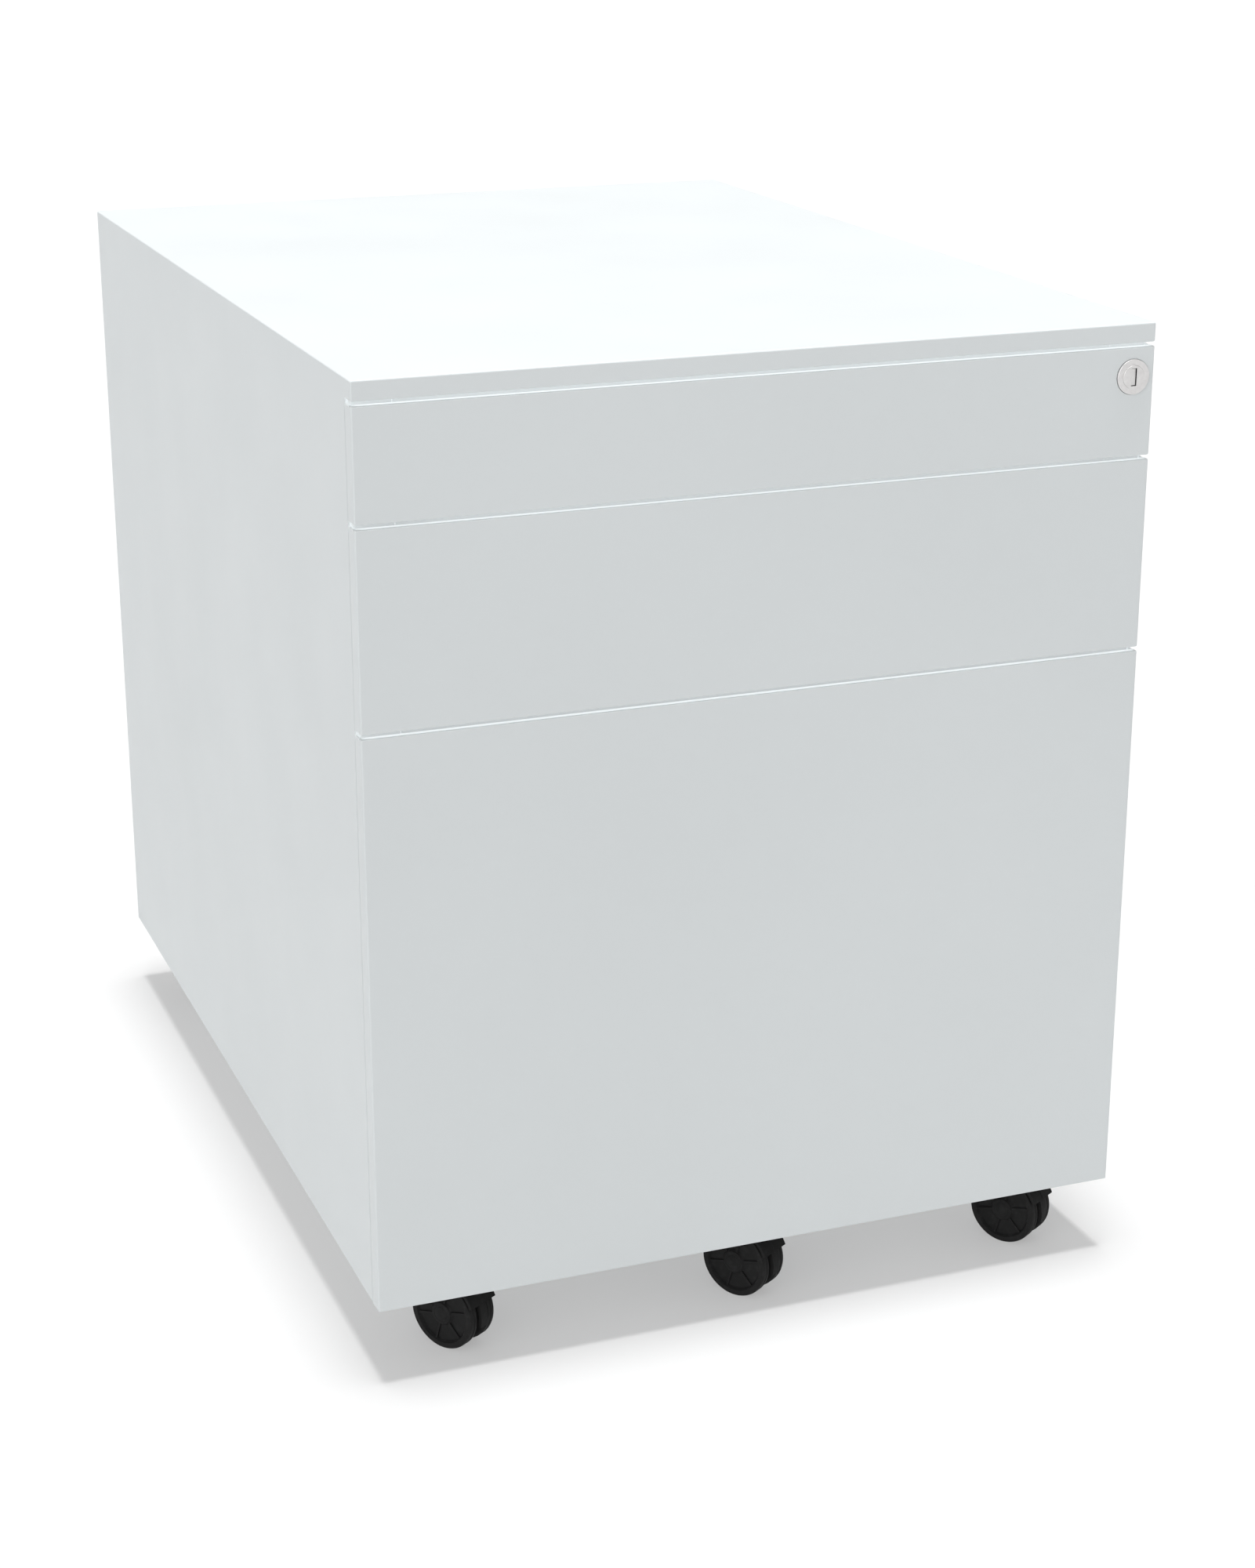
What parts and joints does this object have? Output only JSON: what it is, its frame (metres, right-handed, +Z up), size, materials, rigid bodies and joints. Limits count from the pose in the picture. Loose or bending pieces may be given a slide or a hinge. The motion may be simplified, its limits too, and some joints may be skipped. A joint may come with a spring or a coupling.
{
  "type": "mobile pedestal filing cabinet",
  "caption": "Low steel pedestal cabinet on castors: pen, box and file drawers with plain fronts, a cylinder lock at the top right and a castor under the file drawer.",
  "frame": {"origin": "on the floor under the middle of the body", "axes": "+Z up, drawer fronts face -Y, +X to the right of someone facing the fronts"},
  "size_m": [0.42, 0.5813, 0.52],
  "materials": {
    "powder_coat": "fine powder coat, near-white cool grey, satin",
    "zinc_steel": "zinc plated, satin",
    "lock_nickel": "nickel plated, satin",
    "castor_plastic": "moulded, matt",
    "wheel_plastic": "moulded, matt, hard tread",
    "insert_plastic": "vacuum formed, fine grain"
  },
  "bodies": {
    "carcass": {"wrapper": "powder_coat", "back_panel": "powder_coat", "base_plate": "powder_coat", "front_post_l": "powder_coat", "front_post_r": "powder_coat", "rear_post_l": "powder_coat", "rear_post_r": "powder_coat", "rail_top": "powder_coat", "rail_upper": "powder_coat", "rail_lower": "powder_coat", "pen_runner_fixed_l": "zinc_steel", "pen_runner_fixed_r": "zinc_steel", "box_runner_fixed_l": "zinc_steel", "box_runner_fixed_r": "zinc_steel", "file_runner_fixed_l": "zinc_steel", "file_runner_fixed_r": "zinc_steel", "lock_housing": "lock_nickel", "castor_mounts": "zinc_steel"},
    "pen_drawer": {"pen_front": "powder_coat", "pen_tray": "powder_coat", "pen_runner_slide_l": "zinc_steel", "pen_runner_slide_r": "zinc_steel", "pen_insert": "insert_plastic"},
    "box_drawer": {"box_front": "powder_coat", "box_tray": "powder_coat", "box_runner_slide_l": "zinc_steel", "box_runner_slide_r": "zinc_steel", "box_divider": "powder_coat"},
    "file_drawer": {"file_front": "powder_coat", "file_tray": "powder_coat", "file_runner_slide_l": "zinc_steel", "file_runner_slide_r": "zinc_steel", "file_rail_l": "zinc_steel", "file_rail_r": "zinc_steel", "file_castor_bracket": "zinc_steel"},
    "file_float_l": {"file_runner_mid_l": "zinc_steel"},
    "file_float_r": {"file_runner_mid_r": "zinc_steel"},
    "lock_core": {"lock_plug": "lock_nickel", "lock_cam": "zinc_steel"},
    "lock_bar": {"lock_bar": "zinc_steel"},
    "castor_fl_swivel": {"castor_fl_fork": "castor_plastic", "castor_fl_axle": "zinc_steel"},
    "castor_fl_roll_l": {"castor_fl_wheel_l": "wheel_plastic"},
    "castor_fl_roll_r": {"castor_fl_wheel_r": "wheel_plastic"},
    "castor_fr_swivel": {"castor_fr_fork": "castor_plastic", "castor_fr_axle": "zinc_steel"},
    "castor_fr_roll_l": {"castor_fr_wheel_l": "wheel_plastic"},
    "castor_fr_roll_r": {"castor_fr_wheel_r": "wheel_plastic"},
    "castor_rl_swivel": {"castor_rl_fork": "castor_plastic", "castor_rl_axle": "zinc_steel"},
    "castor_rl_roll_l": {"castor_rl_wheel_l": "wheel_plastic"},
    "castor_rl_roll_r": {"castor_rl_wheel_r": "wheel_plastic"},
    "castor_rr_swivel": {"castor_rr_fork": "castor_plastic", "castor_rr_axle": "zinc_steel"},
    "castor_rr_roll_l": {"castor_rr_wheel_l": "wheel_plastic"},
    "castor_rr_roll_r": {"castor_rr_wheel_r": "wheel_plastic"},
    "castor_c_swivel": {"castor_c_fork": "castor_plastic", "castor_c_axle": "zinc_steel"},
    "castor_c_roll_l": {"castor_c_wheel_l": "wheel_plastic"},
    "castor_c_roll_r": {"castor_c_wheel_r": "wheel_plastic"}
  },
  "joints": [
    {"name": "pen_drawer_slide", "type": "slide", "parent": "carcass", "child": "pen_drawer", "axis": [0, -1, 0], "range_m": [0, 0.35]},
    {"name": "box_drawer_slide", "type": "slide", "parent": "carcass", "child": "box_drawer", "axis": [0, -1, 0], "range_m": [0, 0.35]},
    {"name": "file_drawer_slide", "type": "slide", "parent": "carcass", "child": "file_drawer", "axis": [0, -1, 0], "range_m": [0, 0.48]},
    {"name": "file_float_l_slide", "type": "slide", "parent": "carcass", "child": "file_float_l", "axis": [0, -1, 0], "range_m": [0, 0.24]},
    {"name": "file_float_r_slide", "type": "slide", "parent": "carcass", "child": "file_float_r", "axis": [0, -1, 0], "range_m": [0, 0.24]},
    {"name": "lock_turn", "type": "hinge", "parent": "carcass", "child": "lock_core", "pos_m": [0.198, -0.29, 0.493], "axis": [0, 1, 0], "range_deg": [0, 90]},
    {"name": "lock_bar_slide", "type": "slide", "parent": "carcass", "child": "lock_bar", "axis": [0, 0, 1], "range_m": [0, 0.00806]},
    {"name": "castor_fl_swivel_turn", "type": "hinge", "parent": "carcass", "child": "castor_fl_swivel", "pos_m": [-0.1644, -0.254, 0.05], "axis": [0, 0, 1], "continuous": true},
    {"name": "castor_fl_wheel_l_turn", "type": "hinge", "parent": "castor_fl_swivel", "child": "castor_fl_roll_l", "pos_m": [-0.16679, -0.26271, 0.02], "axis": [0.8387, 0.5446, 0], "continuous": true},
    {"name": "castor_fl_wheel_r_turn", "type": "hinge", "parent": "castor_fl_swivel", "child": "castor_fl_roll_r", "pos_m": [-0.15547, -0.25536, 0.02], "axis": [0.8387, 0.5446, 0], "continuous": true},
    {"name": "castor_fr_swivel_turn", "type": "hinge", "parent": "carcass", "child": "castor_fr_swivel", "pos_m": [0.1644, -0.254, 0.05], "axis": [0, 0, 1], "continuous": true},
    {"name": "castor_fr_wheel_l_turn", "type": "hinge", "parent": "castor_fr_swivel", "child": "castor_fr_roll_l", "pos_m": [0.16201, -0.26271, 0.02], "axis": [0.8387, 0.5446, 0], "continuous": true},
    {"name": "castor_fr_wheel_r_turn", "type": "hinge", "parent": "castor_fr_swivel", "child": "castor_fr_roll_r", "pos_m": [0.17333, -0.25536, 0.02], "axis": [0.8387, 0.5446, 0], "continuous": true},
    {"name": "castor_rl_swivel_turn", "type": "hinge", "parent": "carcass", "child": "castor_rl_swivel", "pos_m": [-0.1644, 0.254, 0.05], "axis": [0, 0, 1], "continuous": true},
    {"name": "castor_rl_wheel_l_turn", "type": "hinge", "parent": "castor_rl_swivel", "child": "castor_rl_roll_l", "pos_m": [-0.16679, 0.24529, 0.02], "axis": [0.8387, 0.5446, 0], "continuous": true},
    {"name": "castor_rl_wheel_r_turn", "type": "hinge", "parent": "castor_rl_swivel", "child": "castor_rl_roll_r", "pos_m": [-0.15547, 0.25264, 0.02], "axis": [0.8387, 0.5446, 0], "continuous": true},
    {"name": "castor_rr_swivel_turn", "type": "hinge", "parent": "carcass", "child": "castor_rr_swivel", "pos_m": [0.1644, 0.254, 0.05], "axis": [0, 0, 1], "continuous": true},
    {"name": "castor_rr_wheel_l_turn", "type": "hinge", "parent": "castor_rr_swivel", "child": "castor_rr_roll_l", "pos_m": [0.16201, 0.24529, 0.02], "axis": [0.8387, 0.5446, 0], "continuous": true},
    {"name": "castor_rr_wheel_r_turn", "type": "hinge", "parent": "castor_rr_swivel", "child": "castor_rr_roll_r", "pos_m": [0.17333, 0.25264, 0.02], "axis": [0.8387, 0.5446, 0], "continuous": true},
    {"name": "castor_c_swivel_turn", "type": "hinge", "parent": "file_drawer", "child": "castor_c_swivel", "pos_m": [0, -0.2567, 0.05], "axis": [0, 0, 1], "continuous": true},
    {"name": "castor_c_wheel_l_turn", "type": "hinge", "parent": "castor_c_swivel", "child": "castor_c_roll_l", "pos_m": [-0.00239, -0.26541, 0.02], "axis": [0.8387, 0.5446, 0], "continuous": true},
    {"name": "castor_c_wheel_r_turn", "type": "hinge", "parent": "castor_c_swivel", "child": "castor_c_roll_r", "pos_m": [0.00893, -0.25806, 0.02], "axis": [0.8387, 0.5446, 0], "continuous": true}
  ],
  "couplings": [
    {"joint": "file_float_l_slide", "follows": "file_drawer_slide", "ratio": 0.5},
    {"joint": "file_float_r_slide", "follows": "file_drawer_slide", "ratio": 0.5},
    {"joint": "lock_turn", "follows": "lock_bar_slide", "rad_per_m": 194.89}
  ]
}
